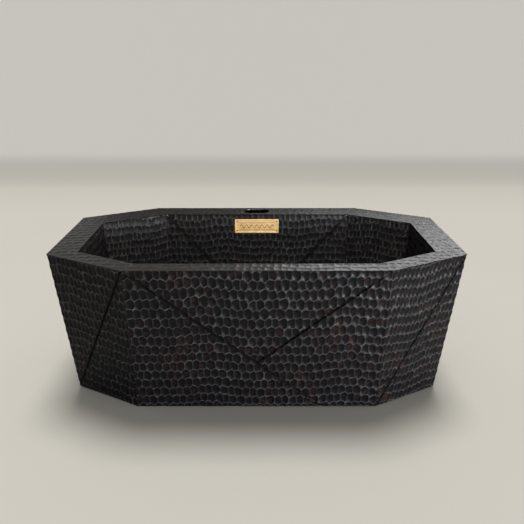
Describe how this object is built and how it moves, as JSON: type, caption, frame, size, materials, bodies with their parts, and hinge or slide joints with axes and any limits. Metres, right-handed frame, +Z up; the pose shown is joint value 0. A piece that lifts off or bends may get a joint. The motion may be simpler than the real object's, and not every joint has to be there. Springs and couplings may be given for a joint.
{
  "type": "freestanding bathtub",
  "caption": "Freestanding eight-sided bathtub: hammered double wall on a hidden frame, flat rim with an oval tap opening, lifting waste stopper and levelling feet.",
  "frame": {"origin": "centre of the tub's plan outline, on the floor the feet stand on", "axes": "+X along the length, +Y towards the tap deck, +Z up"},
  "size_m": [1.7, 0.813, 0.66],
  "materials": {
    "outer_copper": "hammered, blackened",
    "basin_copper": "hammered, blackened",
    "rim_copper": "hammered, blackened, lighter with polish",
    "plaque_brass": "satin",
    "waste_brass": "aged",
    "steel": "zinc plated",
    "painted_steel": "satin black",
    "plywood": "sealed plywood",
    "foot_plastic": "moulded",
    "seal_rubber": "moulded"
  },
  "bodies": {
    "tub": {"wall_front_upper": "outer_copper", "wall_front_left": "outer_copper", "wall_front_right": "outer_copper", "wall_right_front": "outer_copper", "wall_right_back": "outer_copper", "wall_back_upper": "outer_copper", "wall_back_right": "outer_copper", "wall_back_left": "outer_copper", "wall_left_back": "outer_copper", "wall_left_front": "outer_copper", "liner_front": "basin_copper", "liner_front_right": "basin_copper", "liner_right": "basin_copper", "liner_back_right": "basin_copper", "liner_back": "basin_copper", "liner_back_left": "basin_copper", "liner_left": "basin_copper", "liner_front_left": "basin_copper", "basin_floor": "basin_copper", "rim": "rim_copper", "tap_plate": "steel", "plaque": "plaque_brass", "plaque_pins": "plaque_brass", "top_ring": "painted_steel", "base_ring": "painted_steel", "post_fl": "painted_steel", "post_fr": "painted_steel", "post_rf": "painted_steel", "post_rb": "painted_steel", "post_br": "painted_steel", "post_bl": "painted_steel", "post_lb": "painted_steel", "post_lf": "painted_steel", "bearer_1": "painted_steel", "bearer_2": "painted_steel", "bearer_3": "painted_steel", "bearer_4": "painted_steel", "floor_board": "plywood", "foot_bosses": "steel", "foot_locknuts": "steel", "waste_body": "waste_brass", "waste_gasket": "seal_rubber", "waste_nut": "waste_brass", "waste_tail": "waste_brass"},
    "stopper": {"stopper_cap": "waste_brass", "stopper_seal": "seal_rubber", "stopper_stem": "waste_brass"},
    "foot_fl_pad": {"pad_fl": "foot_plastic"},
    "foot_fl_stud": {"stud_fl": "steel"},
    "foot_fr_pad": {"pad_fr": "foot_plastic"},
    "foot_fr_stud": {"stud_fr": "steel"},
    "foot_br_pad": {"pad_br": "foot_plastic"},
    "foot_br_stud": {"stud_br": "steel"},
    "foot_bl_pad": {"pad_bl": "foot_plastic"},
    "foot_bl_stud": {"stud_bl": "steel"}
  },
  "joints": [
    {"name": "stopper_lift", "type": "slide", "parent": "tub", "child": "stopper", "axis": [0, 0, 1], "range_m": [0, 0.01]},
    {"name": "foot_fl_height", "type": "slide", "parent": "tub", "child": "foot_fl_pad", "axis": [0, 0, -1], "range_m": [0, 0.0175]},
    {"name": "foot_fl_turn", "type": "hinge", "parent": "foot_fl_pad", "child": "foot_fl_stud", "pos_m": [-0.56, -0.23, 0.05], "axis": [0, 0, -1], "range_deg": [0, 3610]},
    {"name": "foot_fr_height", "type": "slide", "parent": "tub", "child": "foot_fr_pad", "axis": [0, 0, -1], "range_m": [0, 0.0175]},
    {"name": "foot_fr_turn", "type": "hinge", "parent": "foot_fr_pad", "child": "foot_fr_stud", "pos_m": [0.56, -0.23, 0.05], "axis": [0, 0, -1], "range_deg": [0, 3610]},
    {"name": "foot_br_height", "type": "slide", "parent": "tub", "child": "foot_br_pad", "axis": [0, 0, -1], "range_m": [0, 0.0175]},
    {"name": "foot_br_turn", "type": "hinge", "parent": "foot_br_pad", "child": "foot_br_stud", "pos_m": [0.56, 0.23, 0.05], "axis": [0, 0, -1], "range_deg": [0, 3610]},
    {"name": "foot_bl_height", "type": "slide", "parent": "tub", "child": "foot_bl_pad", "axis": [0, 0, -1], "range_m": [0, 0.0175]},
    {"name": "foot_bl_turn", "type": "hinge", "parent": "foot_bl_pad", "child": "foot_bl_stud", "pos_m": [-0.56, 0.23, 0.05], "axis": [0, 0, -1], "range_deg": [0, 3610]}
  ],
  "couplings": [
    {"joint": "foot_fl_turn", "follows": "foot_fl_height", "rad_per_m": 3590.4},
    {"joint": "foot_fr_turn", "follows": "foot_fr_height", "rad_per_m": 3590.4},
    {"joint": "foot_br_turn", "follows": "foot_br_height", "rad_per_m": 3590.4},
    {"joint": "foot_bl_turn", "follows": "foot_bl_height", "rad_per_m": 3590.4}
  ]
}
